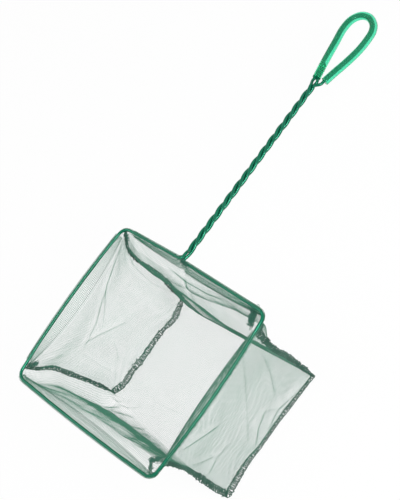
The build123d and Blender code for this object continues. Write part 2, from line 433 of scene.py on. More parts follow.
# %% [markdown]
# ## The wire's route
# One coated wire makes hoop, handle and loop. It starts at a cut end on the handle's root, climbs the
# handle, goes round the loop, comes down, goes round the hoop, climbs again and ends inside the sleeve.
# The loop is bent by hand to a teardrop, so it is a soft curve through points along and across the handle.

# %% Wire route
TEARDROP = [(182, -1.6), (199, -4.6), (217, -7.2), (231, -9.2), (241.4, -8.0), (247.8, -2.7), (248.4, 4.9)]
TEARDROP += [(244, 11.6), (238.4, 15.0), (232, 16.2), (219, 15.9), (205, 13.3), (191, 9.4), (181.4, 7.0)]
WIRE_ASIDE = [-1.25, -1.15] + [-0.8] * 12
TAIL_ASIDE, TAIL_SINK, TAIL_POINTS = 1.45, -0.2, 50
POINTS_PER_STEP = 40
LEAD_JOIN = 20
CUT_START, CUT_STOP, CUT_LIFT = 3, 9, 0.35
LEAST_STEP = 0.05


def loop_line(points, aside, height=0.0):
    """A line on the loop, moved aside from the sleeve's middle."""
    places = zip(points, np.broadcast_to(aside, len(points)))
    way = [on_handle(reach, shift + off, height) for (reach, shift), off in places]
    return smooth_line(way, POINTS_PER_STEP * len(points))


def lead(angle, line, spread):
    """From the top of a strand into the start of a line on the loop."""
    top = lay(angle, LAY_END)
    leaves = top + lay_tangent(angle, LAY_END) * 2
    enters = line[0] - unit(line[4] - line[0]) * 3.5 + ACROSS * spread
    return smooth_line([top, leaves, enters, line[0], line[LEAD_JOIN]], 60)


def sprung(line, lift):
    """A strand whose start springs away from the handle's axis."""
    out = []
    for k, p in enumerate(line):
        axis = on_handle((p - ROOT) @ ALONG, 0)
        out.append(p + (p - axis) * lift * (1 - k / len(line)) ** 2)
    return out


wire_line = loop_line(TEARDROP, WIRE_ASIDE)
tail_line = loop_line(TEARDROP[:2], TAIL_ASIDE, TAIL_SINK)[:TAIL_POINTS]
left_lead, return_lead = lead(LEFT, wire_line, -0.8), lead(RETURN, wire_line[::-1], 0)
loop = np.concatenate([left_lead, wire_line[LEAD_JOIN + 1 : -LEAD_JOIN - 1], return_lead[::-1]])
tail = np.concatenate([lead(RIGHT, tail_line, 0.7), tail_line[LEAD_JOIN + 1 :]])
route = sprung(strand(RETURN, LAY_START + CUT_START, LAY_START + CUT_STOP), CUT_LIFT)
route += strand(RETURN, LAY_START + CUT_STOP + 0.5, LAY_END) + list(loop[::-1])
route += strand(LEFT, LAY_END, LAY_START) + list(hoop) + strand(RIGHT, LAY_START, LAY_END) + list(tail)
route = np.array(route)
keep = np.concatenate([[True], np.linalg.norm(np.diff(route, axis=0), axis=1) > LEAST_STEP])
route = route[keep]
print("wire length", round(length(route)), "mm in", len(route), "points")

# %% [markdown]
# The wire is round and has no flat side, so its section may turn freely: each normal is carried on from
# the last one. At the cut end the steel core shows, a hair proud of its coat.

# %% Wire and cut end
CORE = 1.6
CORE_PROUD, CORE_DEEP = 0.06, 0.5
FIRST_SIDE = (0.3, 0.2, 0.9)


def carried_normals(line):
    tangents = unit(np.gradient(line, axis=0))
    normals = [unit(np.cross(tangents[0], FIRST_SIDE))]
    for t in tangents[1:]:
        n = normals[-1] - t * (normals[-1] @ t)
        normals.append(unit(n))
    return np.array(normals)


wire = tubes("coated_wire", [route], [carried_normals(route)], (WIRE, 0, 20), VINYL, smooth=True)
inwards = unit(route[1] - route[0])
core_line = np.array([route[0] - inwards * CORE_PROUD, route[0] + inwards * CORE_DEEP])
core = tubes("steel_core", [core_line], [carried_normals(core_line)], (CORE, 0, 16), STEEL, smooth=True)

# %% [markdown]
# ## The sleeve
# A push-on tube of clear vinyl, cut square at both ends. Its bore hugs the wire on one side, so the thick
# clear wall on the other side catches the light, and it opens out at the left end for the tail. Outer skin,
# bore and the rings at both ends are one closed surface, because light has to pass in and out of it.

# %% Loop sleeve
SLEEVE_RINGS, SLEEVE_SIDES = 160, 28
SLEEVE_RADIUS = 3.25
OPEN_BORE, TIGHT_BORE = 2.72, 1.22
OPEN_RINGS, TIGHT_RINGS = 12, 17
NEAR_POINTS = 30

middle = resample(loop_line(TEARDROP, 0), SLEEVE_RINGS)
ahead = unit(np.gradient(middle, axis=0))
first_side = carried_normals(middle)
second_side = np.cross(ahead, first_side)
angles = np.linspace(0, 2 * np.pi, SLEEVE_SIDES, endpoint=False)[None, :, None]
ring = np.cos(angles) * first_side[:, None] + np.sin(angles) * second_side[:, None]
bore = []
for i, (place, way) in enumerate(zip(middle, ahead)):
    guess = round(i / (SLEEVE_RINGS - 1) * (len(wire_line) - 1))
    window = wire_line[max(0, guess - NEAR_POINTS) : guess + NEAR_POINTS + 1]
    nearest = window[np.abs((window - place) @ way).argmin()] - place
    bore.append(place + nearest - way * (nearest @ way))
opened = np.interp(np.arange(SLEEVE_RINGS), [OPEN_RINGS, TIGHT_RINGS], [1, 0])[:, None]
bore = middle * opened + np.array(bore) * (1 - opened)
hollow = bore[:, None] + ring * (OPEN_BORE * opened + TIGHT_BORE * (1 - opened))[:, None]
skins = np.concatenate([middle[:, None] + ring * SLEEVE_RADIUS, hollow[::-1]])
quads = []
for i in range(len(skins)):
    here, there = i * SLEEVE_SIDES, (i + 1) % len(skins) * SLEEVE_SIDES
    for j in range(SLEEVE_SIDES):
        k = (j + 1) % SLEEVE_SIDES
        quads.append((here + j, here + k, there + k, there + j))
mesh = bpy.data.meshes.new("loop_tube")
mesh.from_pydata(in_frame(skins.reshape(-1, 3)), [], quads)
mesh.polygons.foreach_set("use_smooth", [True] * len(quads))
mesh.materials.append(SLEEVE)
tube = bpy.data.objects.new("loop_tube", mesh)
bpy.context.collection.objects.link(tube)
print("sleeve faces", len(quads))

# %% [markdown]
# ## The bag's edges
# The bag is a long strip and two side pieces. Two seams, each a U, run from the wire down to the end of
# the bag, along it and up again. The bag is narrower than the hoop, so the cloth dives inwards under the
# wire and the seams wander. A few points on each seam and fold are given here, then smoothed.

# %% Seams and folds
FLOOR = -BAG_DEPTH
END = FLOOR + 0.75
SEAM_POINTS, FOLD_POINTS = 90, 120
NEAR_LEFT, NEAR_RIGHT = (-70.3, 57.7, END), (73.9, 60, END)
FAR_LEFT, FAR_RIGHT = (-73, -41, END), (71.2, -52.2, END)


def down_to(foot, *places):
    return smooth_line([*places, foot], SEAM_POINTS)


def on_table(first, last, count, *places):
    return smooth_line([first, *((x, y, END) for x, y in places), last], count)


near_left_places = [(-73, 67.2, -1.5), (-75.6, 58.5, -22), (-75.4, 57.3, -40)]
near_left_places += [(-74.6, 59.2, -59), (-73.6, 59.2, -79), (-72, 57.2, -97)]
far_left_places = [(-75.2, -61.1, -1), (-74, -56.9, -13.5), (-75.3, -50.3, -30.4)]
far_left_places += [(-75.4, -47.2, -53), (-74.9, -43.5, -81.4), (-74.2, -42.2, -95)]
far_right_places = [(75.4, -57.8, -1), (72.1, -54.9, -8.5), (70.9, -52.8, -26.2)]
far_right_places += [(70.2, -51.6, -42), (69.7, -52, -67), (69.8, -52.7, -88)]
near_right_places = [(75.6, 61.2, -1), (71, 57, -14.8), (70.3, 55.9, -44.9), (71.1, 58.8, -68.4)]
left_places = [(-66.8, 46.2), (-65.1, 36.9), (-67.4, 26.4), (-68.2, 15.7)]
left_places += [(-68.1, -7.6), (-69.2, -16.4), (-68.3, -29.1)]
right_places = [(72, 33.6), (71, 17.2), (70.7, -8.2), (69, -25)]
near_places = [(-45.3, 53.8), (-28.8, 53.8), (-1.1, 55.1), (35.8, 57.3)]
far_places = [(-34.7, -46.3), (5.3, -51.2), (41, -52.8)]

near_left_seam = down_to(NEAR_LEFT, *near_left_places)
far_left_seam = down_to(FAR_LEFT, *far_left_places)
near_right_seam = down_to(NEAR_RIGHT, *near_right_places)
far_right_seam = down_to(FAR_RIGHT, *far_right_places)
end_left = on_table(NEAR_LEFT, FAR_LEFT, SEAM_POINTS, *left_places)
end_right = on_table(NEAR_RIGHT, FAR_RIGHT, SEAM_POINTS, *right_places)
fold_near = on_table(NEAR_LEFT, NEAR_RIGHT, FOLD_POINTS, *near_places)
fold_far = on_table(FAR_LEFT, FAR_RIGHT, FOLD_POINTS, *far_places)
seams = near_left_seam, far_left_seam, far_right_seam, near_right_seam
print("seam lengths", [round(length(seam)) for seam in seams])

# %% [markdown]
# ## The view
# The photo was taken from above and to one side with a long lens, and the camera was tipped on its axis.
# The camera comes before the cloth, because the creases of the cloth are laid where the photo shows them.

# %% Camera
PICTURE_WIDTH, PICTURE_HEIGHT = 400, 500
LENS, SENSOR = 87.81, 36
FOCAL = LENS / SENSOR * PICTURE_HEIGHT
EYE = np.array([524.20, -11.09, 726.95])
AZIMUTH, ELEVATION, ROLL = math.radians(-10.305), math.radians(53.582), math.radians(-46.509)

level = np.array([-math.sin(AZIMUTH), math.cos(AZIMUTH), 0])
outwards = np.array([math.cos(AZIMUTH), math.sin(AZIMUTH), 0])
VIEW_BACK = outwards * math.cos(ELEVATION) + np.array([0, 0, math.sin(ELEVATION)])
VIEW_RIGHT = level * math.cos(ROLL) + np.cross(VIEW_BACK, level) * math.sin(ROLL)
VIEW_UP = np.cross(VIEW_BACK, VIEW_RIGHT)
camera = bpy.data.objects.new("camera", bpy.data.cameras.new("camera"))
bpy.context.collection.objects.link(camera)
camera.data.lens, camera.data.sensor_width = LENS, SENSOR
axes = np.stack([VIEW_RIGHT, VIEW_UP, VIEW_BACK, in_frame(EYE)], 1)
camera.matrix_world = Matrix(axes.tolist() + [[0, 0, 0, 1]])
bpy.context.scene.camera = camera
bpy.context.scene.view_settings.view_transform = "Standard"


def seen_at(points):
    """Where points fall in the picture, in pixels from its top left corner."""
    away = points - EYE
    scale = FOCAL / -(away @ VIEW_BACK)
    across, down = scale * (away @ VIEW_RIGHT), -scale * (away @ VIEW_UP)
    return np.stack([PICTURE_WIDTH / 2 + across, PICTURE_HEIGHT / 2 + down], -1)


print("the hoop's middle is seen at", seen_at(np.zeros(3)).round(1))

# %% [markdown]
# ## Cloth
# A panel of netting is a grid of crossings. It is a patch blended from its four edges, which is then made
# less perfect: a slow noise keeps it from lying flat, and pleats run in from the corners, where the cloth
# is pulled. A cloth simulation would find its own folds; these have to be the ones in the photo.


# %% Cloth helpers
def shares(rows, cols):
    """How far across and how far down each crossing of a grid lies, from 0 to 1."""
    return np.meshgrid(np.linspace(0, 1, cols), np.linspace(0, 1, rows))


def from_edge(share):
    return np.minimum(share, 1 - share)


def ramped(share, slope, start=0.0):
    """A straight rise from 0 to 1."""
    return np.clip(share * slope - start, 0, 1)


def ripple(points, seed, size):
    """A slow noise: a sum of a few waves in fixed directions."""
    wave = np.random.default_rng(seed)
    total = np.zeros(points.shape[:2])
    for k in range(7):
        direction = unit(wave.normal(size=3))
        waves_per_mm = 2 * np.pi / (size * wave.uniform(0.5, 1.6))
        total += np.sin(points @ direction * waves_per_mm + wave.uniform(0, 6.28))
    return total / 4


def surface_normals(grid):
    normal = np.cross(np.gradient(grid, axis=1), np.gradient(grid, axis=0))
    normal[np.linalg.norm(normal, axis=2) < 1e-4] = normal.mean(axis=(0, 1))
    return unit(normal)


def patch(top, bottom, left, right, rows, cols):
    """A Coons patch: rows run down, columns across."""
    top, bottom = resample(top, cols)[None], resample(bottom, cols)[None]
    left, right = resample(left, rows)[:, None], resample(right, rows)[:, None]
    u, v = np.linspace(0, 1, cols)[None, :, None], np.linspace(0, 1, rows)[:, None, None]
    above = (1 - u) * top[:, :1] + u * top[:, -1:]
    beneath = (1 - u) * bottom[:, :1] + u * bottom[:, -1:]
    flat = (1 - v) * above + v * beneath
    return (1 - v) * top + v * bottom + (1 - u) * left + u * right - flat


def gathers(grid, corner, reach, pleats, depth):
    """Pleats that fan out from a corner and fade with distance."""
    far = np.linalg.norm(grid - corner, axis=2)
    u, v = shares(*grid.shape[:2])
    angle = np.arctan2(from_edge(v) + 0.02, from_edge(u) + 0.02)
    return depth * np.exp(-((far / reach) ** 2)) * (far / (far + 6)) * np.sin(angle * pleats)


# %% [markdown]
# ## Creases
# Netting that has been folded in a packet keeps sharp creases. Each one follows a trail of points in the
# picture. Along it the cloth is raised, and its threads are pinched together, which is what makes a crease
# in a see-through cloth look dark. Where the cloth is seen edge-on a crease has no width, so it fades out.


# %% Crease maker
def turn_between(a, b):
    return a[..., 0] * b[..., 1] - a[..., 1] * b[..., 0]


def crease(grid, depth, width, *trail):
    """How far a crease moves each crossing; depth in mm, width and trail in pixels."""
    place = seen_at(grid)
    nearest, part, foot = np.full(place.shape[:2], 1e9), np.zeros(place.shape[:2]), place.copy()
    for k, (a, b) in enumerate(zip(np.array(trail[:-1], float), np.array(trail[1:], float))):
        t = np.clip(((place - a) @ (b - a)) / ((b - a) @ (b - a)), 0, 1)
        here = a + t[..., None] * (b - a)
        gap = np.linalg.norm(place - here, axis=2)
        closer = gap < nearest
        part = np.where(closer, (k + t) / (len(trail) - 1), part)
        foot = np.where(closer[..., None], here, foot)
        nearest = np.minimum(nearest, gap)
    down, along = np.gradient(place, axis=0), np.gradient(place, axis=1)
    facing = turn_between(down, along)
    fade = np.sqrt(np.clip(4 * part * (1 - part), 0, 1)) * np.exp(-((nearest / width) ** 2))
    fade = fade * ramped(np.abs(facing), 2, 0.4)
    pull = 0.8 * fade[..., None] * (foot - place)
    facing = np.where(np.abs(facing) < 0.2, 0.2, facing)
    by_rows = np.clip(turn_between(pull, along) / facing, -3, 3)[..., None]
    by_cols = np.clip(turn_between(down, pull) / facing, -3, 3)[..., None]
    slide = by_rows * np.gradient(grid, axis=0) + by_cols * np.gradient(grid, axis=1)
    return slide + surface_normals(grid) * (depth * fade)[..., None]


# %% [markdown]
# ## How the walls fall
# Each panel hangs from a stretch of wire. It first dives inwards by the width of the hem, then falls to
# the end of the bag between its two seams. The wall under the handle sags, and the wall on the far side
# curves on to the table, so these two have a rule for how far in and how far down each crossing lies.


# %% Falls
def near_fall(u, v):
    """Sags late at the left; at the right it hangs straight, leaps in and swings out again."""
    late = np.interp(v, [0, 0.07, 0.62, 0.8, 1], [0, 0.34, 0.68, 1, 1])
    wavy = v + 0.04 * np.sin(9 * u) * np.sin(np.pi * v)
    leap = np.interp(wavy, [0, 0.04, 0.26, 0.4, 1], [0, -0.25, -0.3, 1.2, 1])
    mix = ramped(u, 2.2, 0.6)
    return late * (1 - mix) + leap * mix, v


def far_fall(u, v):
    """Dives under its hem, more to the right, hangs almost straight and curves on to the table."""
    hem_end, foot, straight = 0.08, 0.78, 0.86
    span, dive, hang = 21.5 - 11 * u, 7 * u - 0.6, 7.5 - 3.3 * u
    turn = np.pi / 2 * np.clip((v - foot) / (1 - foot), 0, 1)
    inwards = dive * np.clip(v / hem_end, 0, 1) + hang * np.clip((v - hem_end) / (foot - hem_end), 0, 1)
    inwards += (span - dive - hang) * (1 - np.cos(turn))
    return inwards / span, straight * np.minimum(v / foot, 1) + (1 - straight) * np.sin(turn)


# %% [markdown]
# ## Panels
# A panel's grid starts at its rim on the outside of the wire, goes over the hem to the shoulder and falls
# from there. The hem is a second grid: half a turn round the wire, then a flap on the panel's inner side.

# %% Panel maker
PITCH = 1.15
FALL_DEPTH = 103
HEM_ROWS = 9
HEM_RADIUS = 1.9
UNDER_WIRE = np.array([0, 0, 1.2])
ROOT_SPLIT, SPLIT_DROP = 6, np.array([0, 0, 1.8])
LEAST_HEIGHT = END - 0.3


def hem_edges(top, inward, drop, cols, gap):
    """The wire, the ways in and out of the bag along it, and the rim and shoulder of its panel."""
    line = resample(top, cols)
    taper = np.sin(np.linspace(0, np.pi, cols))[:, None] ** 0.7
    dive = taper * (inward - np.array([0, 0, drop])) - UNDER_WIRE
    out = unit(np.cross(unit(np.gradient(line, axis=0)), unit(dive)))
    out = -out * np.sign(out[cols // 2] @ inward)
    split = np.zeros((cols, 1)) if gap is None else np.exp(-(((line[:, :1] - gap) / ROOT_SPLIT) ** 2))
    rim = line + out * HEM_RADIUS * (1 - split) - SPLIT_DROP * split
    return line, dive, out, rim, line + dive + out * 0.3


def turned_hem(line, dive, out, shoulder):
    turn = np.linspace(0, np.pi, 6)[:, None, None]
    wrap = line + HEM_RADIUS * (out * np.cos(turn) - unit(dive) * np.sin(turn))
    blend = np.linspace(0, 1, HEM_ROWS + 1)[1:, None, None]
    flap = (line - out * HEM_RADIUS) * (1 - blend) + (shoulder - out * 1.1) * blend
    return np.concatenate([wrap, flap])


def panel(top, bottom, left, right, inward, drop, seed, slack, fall_of=None, gap=None, creases=()):
    """A panel's grid of crossings, its hem's grid and its stretch of wire."""
    rows, cols = round(FALL_DEPTH / PITCH), round(length(bottom) / PITCH)
    line, dive, out, rim, shoulder = hem_edges(top, np.array(inward, float), drop, cols, gap)
    fall = patch(shoulder, bottom, left, right, rows, cols)
    if fall_of:
        u, v = shares(rows, cols)
        ways = np.stack(fall_of(u, v), -1) - v[..., None]
        fall[..., 1:] += ramped(from_edge(u), 14)[..., None] * ways * (fall[-1] - fall[0])[None, :, 1:]
    blend = np.linspace(0, 1, HEM_ROWS, endpoint=False)[:, None, None]
    grid = np.concatenate([rim * (1 - blend) + shoulder * blend, fall])
    u, v = shares(*grid.shape[:2])
    below_hem, above_end = ramped(v, 6, 0.3), ramped(1 - v, 10)
    move = slack * ripple(grid, seed, 70) + 0.2 * slack * ripple(grid, seed + 1, 22)
    for k, corner in enumerate((grid[0, 0], grid[0, -1], grid[-1, 0], grid[-1, -1])):
        move = move + gathers(grid, corner, reach=30, pleats=17 + 3 * k, depth=0.6)
    free = ramped(from_edge(u), 8) * below_hem * above_end
    grid = grid + surface_normals(grid) * (move * free)[..., None]
    sewn = ramped(from_edge(u), 20) * below_hem
    if not fall_of:
        sewn = sewn * above_end
    grid = grid + sewn[..., None] * sum(crease(grid, *trail) for trail in creases)
    grid[..., 2] = np.maximum(grid[..., 2], LEAST_HEIGHT)
    return grid, turned_hem(line, dive, out, shoulder), line


# %% [markdown]
# ## Netting
# Real netting has thousands of holes, and their threads give the bag its veil. A picture with see-through
# holes would be lighter, but it looks flat close by, so every row and column of a grid becomes a thread. A
# thread needs only every second crossing to keep its shape.

# %% Net maker
NET_THREAD = (0.058, 0.17)


def every_second(count):
    return np.unique(np.append(np.arange(0, count, 2), count - 1))


def net_lines(grid, rows):
    """Threads along the rows and columns of a grid, with the cloth's normal along each."""
    normal = surface_normals(grid)
    some_rows, some_cols = every_second(grid.shape[0]), every_second(grid.shape[1])
    lines = [row[some_cols] for row in grid[rows]] + [grid[some_rows, j] for j in range(grid.shape[1])]
    normals = [row[some_cols] for row in normal[rows]] + [normal[some_rows, j] for j in range(grid.shape[1])]
    return lines, normals


def area(grid):
    a, b = grid[1:, :-1] - grid[:-1, :-1], grid[:-1, 1:] - grid[:-1, :-1]
    return np.linalg.norm(np.cross(a, b), axis=2).sum()


def net(name, grid, thread=NET_THREAD, rows=slice(None)):
    lines, normals = net_lines(grid, rows)
    metres = sum(map(length, lines)) / 1000
    print(name, "cloth", round(area(grid) / 100), "cm2, thread", round(metres, 1), "m")
    return tubes(name, lines, normals, thread, MESH)


# %% [markdown]
# The creases were read off the photo. Each has its depth in millimetres, its width in pixels and its
# trail, and the ones at the far corner run through both the far wall and the end of the bag.

# %% Crease trails
near_creases = [
    (1.0, 2.2, (169, 268), (186, 283), (206, 295), (224, 301)),
    (0.8, 2.0, (163, 262), (176, 276), (190, 290)),
]
corner_creases = [
    (1.0, 2.6, (110, 396), (119, 405), (128, 408), (142, 406)),
    (1.0, 2.6, (84, 405), (108, 408), (132, 409)),
    (1.0, 2.6, (104, 410), (118, 414), (136, 419)),
    (1.0, 2.6, (110, 419), (126, 427), (146, 431)),
    (1.0, 2.6, (118, 426), (132, 432), (150, 437)),
    (1.0, 2.6, (126, 438), (142, 442), (160, 446)),
    (1.0, 2.4, (112, 400), (120, 402), (130, 401)),
]
far_creases = [(1.0, 3.2, (128, 440), (137, 452), (146, 466)), *corner_creases]
left_creases = [
    (0.6, 2.2, (122, 240), (104, 290), (96, 322), (82, 352)),
    (0.6, 2.0, (123, 240), (106, 285), (102, 330)),
    (0.6, 2.0, (82, 352), (98, 364), (116, 374)),
    (0.6, 2.0, (123, 241), (133, 266), (152, 284), (176, 294)),
    (0.5, 2.0, (82, 344), (100, 334), (126, 322)),
    (0.5, 2.0, (112, 340), (117, 352), (118, 360)),
]
right_creases = [
    (2.0, 2.2, (259, 350), (268, 370), (274, 396)),
    (1.4, 2.2, (178, 452), (200, 437), (222, 422)),
    (2.0, 2.6, (300, 388), (282, 404), (262, 412)),
    (0.6, 1.8, (242, 352), (246, 400), (248, 455)),
    (2.2, 2.8, (264, 408), (256, 428), (254, 450)),
    (1.6, 2.2, (300, 392), (290, 396), (276, 408)),
    (1.2, 2.0, (228, 444), (216, 456), (208, 474)),
    (1.2, 2.0, (222, 452), (200, 462), (186, 466)),
    (2.0, 2.6, (283, 396), (272, 418), (262, 440)),
    (1.8, 2.4, (276, 420), (268, 432), (256, 452)),
]
end_creases = [
    *corner_creases,
    (0.6, 2.0, (116, 374), (120, 382), (112, 392)),
    (0.5, 2.0, (150, 400), (172, 410), (186, 416)),
]
all_creases = near_creases, far_creases, left_creases, right_creases, end_creases
print("creases in each panel", [len(trails) for trails in all_creases])

# %% [markdown]
# Four panels hang from the hoop, each from the stretch of wire between its two seams. The near wall's
# stretch is broken by the handle's root, where its rim splits.


# %% Panels
def hoop_between(start, end, points=3000):
    """The hoop's line from the point nearest start to the point nearest end."""
    fine = resample(hoop, points)
    i, j = (int(np.argmin(np.linalg.norm(fine - p, axis=1))) for p in (start, end))
    return fine[i : j + 1] if i < j else fine[j : i + 1][::-1]


near_stretches = [hoop_between(near_left_seam[0], root_left), hoop_between(root_right, near_right_seam[0])]
near_top = np.concatenate(near_stretches)
far_top = hoop_between(far_left_seam[0], far_right_seam[0])
left_top = hoop_between(near_left_seam[0], far_left_seam[0])
right_top = hoop_between(near_right_seam[0], far_right_seam[0])
near_hang = dict(inward=(0, -4.5, 0), drop=8, seed=11, slack=1.2, fall_of=near_fall, gap=-HANDLE_OFFSET)
far_hang = dict(inward=(0, 7, 0), drop=6, seed=23, slack=1.0, fall_of=far_fall)
left_hang = dict(inward=(8, 0, 0), drop=7, seed=31, slack=1.0)
right_hang = dict(inward=(-9.5, 0, 0), drop=5, seed=47, slack=1.7)
near_edges = near_top, fold_near, near_left_seam, near_right_seam
far_edges = far_top, fold_far, far_left_seam, far_right_seam
left_edges = left_top, end_left, near_left_seam, far_left_seam
right_edges = right_top, end_right, near_right_seam, far_right_seam
panels = {
    "near_wall": panel(*near_edges, **near_hang, creases=near_creases),
    "far_wall": panel(*far_edges, **far_hang, creases=far_creases),
    "left_side": panel(*left_edges, **left_hang, creases=left_creases),
    "right_side": panel(*right_edges, **right_hang, creases=right_creases),
}
nets = {name + "_net": net(name + "_net", parts[0]) for name, parts in panels.items()}

# %% [markdown]
# The end of the bag lies on the table. It is the middle of the long strip, so it shares its two folds with
# the walls, and leaves its first and last row of thread to them. Creases run out of its corners, where the
# seams pull.

# %% End of the bag
END_WIDTH, END_LENGTH = 145, 108
end_cols, end_rows = round(END_WIDTH / PITCH), round(END_LENGTH / PITCH)
end = patch(fold_near, fold_far, end_left, end_right, end_rows, end_cols)
u, v = shares(end_rows, end_cols)
rise = 0.5 + 0.5 * ripple(end, seed=5, size=60)
end[..., 2] += np.maximum(rise, -0.3) * ramped(np.minimum(from_edge(u), from_edge(v)), 30)
sewn = ramped(np.minimum(from_edge(u), v), 30)
end = end + sewn[..., None] * sum(crease(end, *trail) for trail in end_creases)
end[..., 2] = np.maximum(end[..., 2], LEAST_HEIGHT)
nets["end_net"] = net("end_net", end, rows=slice(1, -1))

# %% [markdown]
# ## Hems
# The cloth is turned over the wire and sewn down to itself. The turned flap is a second layer of mesh
# that wraps the wire and lies on the panel's inner side. It stands for a gathered cloth, so its threads are
# thicker and the hem looks denser than the rest. It stops short of the corners and of the handle's root.

# %% Hems
HEM_THREAD, FAR_HEM_THREAD = (0.18, 0.17), (0.1, 0.13)
HEM_START, HEM_STOP = 0.05, 0.95
NEAR_START, NEAR_STOP = 0.06, 0.94
GAP_LEFT, GAP_RIGHT = 0.005, 0.006


def hem_between(name, begin, stop):
    hem = panels[name][1]
    return hem[:, round(begin * hem.shape[1]) : round(stop * hem.shape[1])]


near_wire = panels["near_wall"][2]
root_at = np.abs(near_wire[:, 0] + HANDLE_OFFSET).argmin() / len(near_wire)
hem_grids = {
    "left_hem_net": hem_between("left_side", HEM_START, HEM_STOP),
    "right_hem_net": hem_between("right_side", HEM_START, HEM_STOP),
    "far_hem_net": hem_between("far_wall", HEM_START, HEM_STOP),
    "near_hem_left_net": hem_between("near_wall", NEAR_START, root_at - GAP_LEFT),
    "near_hem_right_net": hem_between("near_wall", root_at + GAP_RIGHT, NEAR_STOP),
}
hems = {}
for name, grid in hem_grids.items():
    hems[name] = net(name, grid, FAR_HEM_THREAD if name == "far_hem_net" else HEM_THREAD)

# %% [markdown]
# A lockstitch holds each hem: one thread that dips through both layers at every stitch. It runs along the
# last row but one of the flap.

# %% Hem stitches
STITCH = 1.1
STITCH_THREAD = (0.26, 0, 5)
STITCH_OVER, STITCH_UNDER = 0.5, -0.9


def stitches(grid):
    edge = resample(grid[-2], int(length(grid[-2]) / STITCH))
    over = unit(np.cross(np.gradient(edge, axis=0), resample(grid[-2] - grid[-5], len(edge))))
    dip = np.where(np.arange(len(edge)) % 2, STITCH_OVER, STITCH_UNDER)[:, None]
    return edge + over * dip


stitch_lines = [stitches(grid) for grid in hem_grids.values()]
stitch_normals = [carried_normals(line) for line in stitch_lines]
stitch = tubes("hem_stitches", stitch_lines, stitch_normals, STITCH_THREAD, THREAD)

# %% [markdown]
# ## Overlock seams
# An overlock machine trims the two edges and binds them: two threads run along the seam's rims, and two
# looper threads zigzag over the ridge between them. Each seam is a U from one corner of the hoop to the
# other. The ridge stands out of the bag's corner, rolls a little as it goes, and no two loops are alike.

# %% Overlock maker
ZIGZAG = 1.5
SEAM_THREAD = (0.7, 0, 5)
ZIG_AT = np.array([0.08, 0.3, 0.7, 0.92])
ZIG_SWING = [1, 0.6, -0.6, -1, -1, -0.6, 0.6, 1]
SEAM_LINE_POINTS = 400


def read_along(line, at):
    run = np.linspace(0, 1, len(line))
    return np.stack([np.interp(at, run, line[:, k]) for k in range(3)], 1)


def overlock(name, seam, ridges, seed):
    zigs = int(length(seam) / ZIGZAG)
    at = (np.arange(zigs)[:, None] + ZIG_AT).ravel()
    swing = np.tile(ZIG_SWING, zigs)[: len(at)][:, None]
    line, ridge = read_along(seam, at / zigs), read_along(ridges, at / zigs)
    tangent = unit(np.gradient(line, axis=0))
    ridge = unit(ridge - tangent * (ridge * tangent).sum(1, keepdims=True))
    face = np.cross(tangent, ridge)
    wave = np.random.default_rng(seed)
    roll = (0.35 * np.sin(at / 17 + seed) + 0.25 * np.sin(at / 7 + 2 * seed))[:, None]
    ridge, face = ridge * np.cos(roll) + face * np.sin(roll), face * np.cos(roll) - ridge * np.sin(roll)
    jolt = np.repeat(wave.normal(0, 1, (zigs, 3)), len(ZIG_AT), axis=0)
    out = ridge * (1.95 + 0.35 * np.sin(at / 23 + seed) + 0.35 * jolt[:, 0])[:, None]
    lines = [
        line + out * swing + face * 0.3 + 0.25 * jolt,
        line - out * swing - face * 0.3 + 0.25 * jolt[::-1],
        line - out * (1 - 0.12 * swing) + face * 0.1 + 0.2 * jolt,
        line + out * (1 + 0.12 * swing) - face * 0.1 - 0.25 * jolt,
    ]
    for thread in lines:
        thread[:, 2] = np.maximum(thread[:, 2], FLOOR + 0.3)
    return tubes(name, lines, [carried_normals(thread) for thread in lines], SEAM_THREAD, THREAD)


def u_seam(down, along, up):
    return resample(np.concatenate([down, along[1:], up[::-1][1:]]), SEAM_LINE_POINTS)


def ridge_of(first, end, last):
    """The way that the ridge stands out, going down, along the table and up again."""
    return np.array([first] * 5 + [end] * 5 + [last] * 5, float)


left_u = u_seam(near_left_seam, end_left, far_left_seam)
right_u = u_seam(near_right_seam, end_right, far_right_seam)
left_ridge = ridge_of((-0.5, 1, 0), (-1, 0, 0.2), (-0.5, -1, 0))
right_ridge = ridge_of((0.5, 1, 0), (1, 0, 0.2), (0.5, -1, 0))
left_seam = overlock("left_seam_threads", left_u, left_ridge, seed=3)
right_seam = overlock("right_seam_threads", right_u, right_ridge, seed=8)

# %% [markdown]
# ## Thread ends
# Where a seam meets the wire its chain of thread is tied off: a small knot of loops at each corner, and
# one more at the handle's root. Each knot lies between two points of the picture at a given height, and is
# packed with small loops of thread in all directions.

# %% Tufts
TUFT_THREAD = (0.4, 0, 5)
# First and last pixel, height, size of a loop, number of loops, seed and spread of each knot
TUFTS = [
    ((126, 231), (129, 240), -3, 0.8, 14, 1, 0.35),
    ((28, 365), (38, 364), -2.2, 1.2, 40, 2, 0.8),
    ((150, 472), (151, 461), -2.6, 1.1, 30, 3, 0.5),
    ((151, 460), (161, 459), -2.6, 1.4, 40, 5, 0.8),
    ((255, 307), (250, 324), -3.2, 1.7, 120, 4, 1.0),
    ((179, 257), (187, 266), 0.1, 1.2, 60, 6, 0.5),
]


def below(pixel, height):
    """The point at a height that is seen at a pixel."""
    x, y = (np.array(pixel) - (PICTURE_WIDTH / 2, PICTURE_HEIGHT / 2)) / FOCAL
    ray = VIEW_RIGHT * x - VIEW_UP * y - VIEW_BACK
    return EYE + ray * (height - EYE[2]) / ray[2]


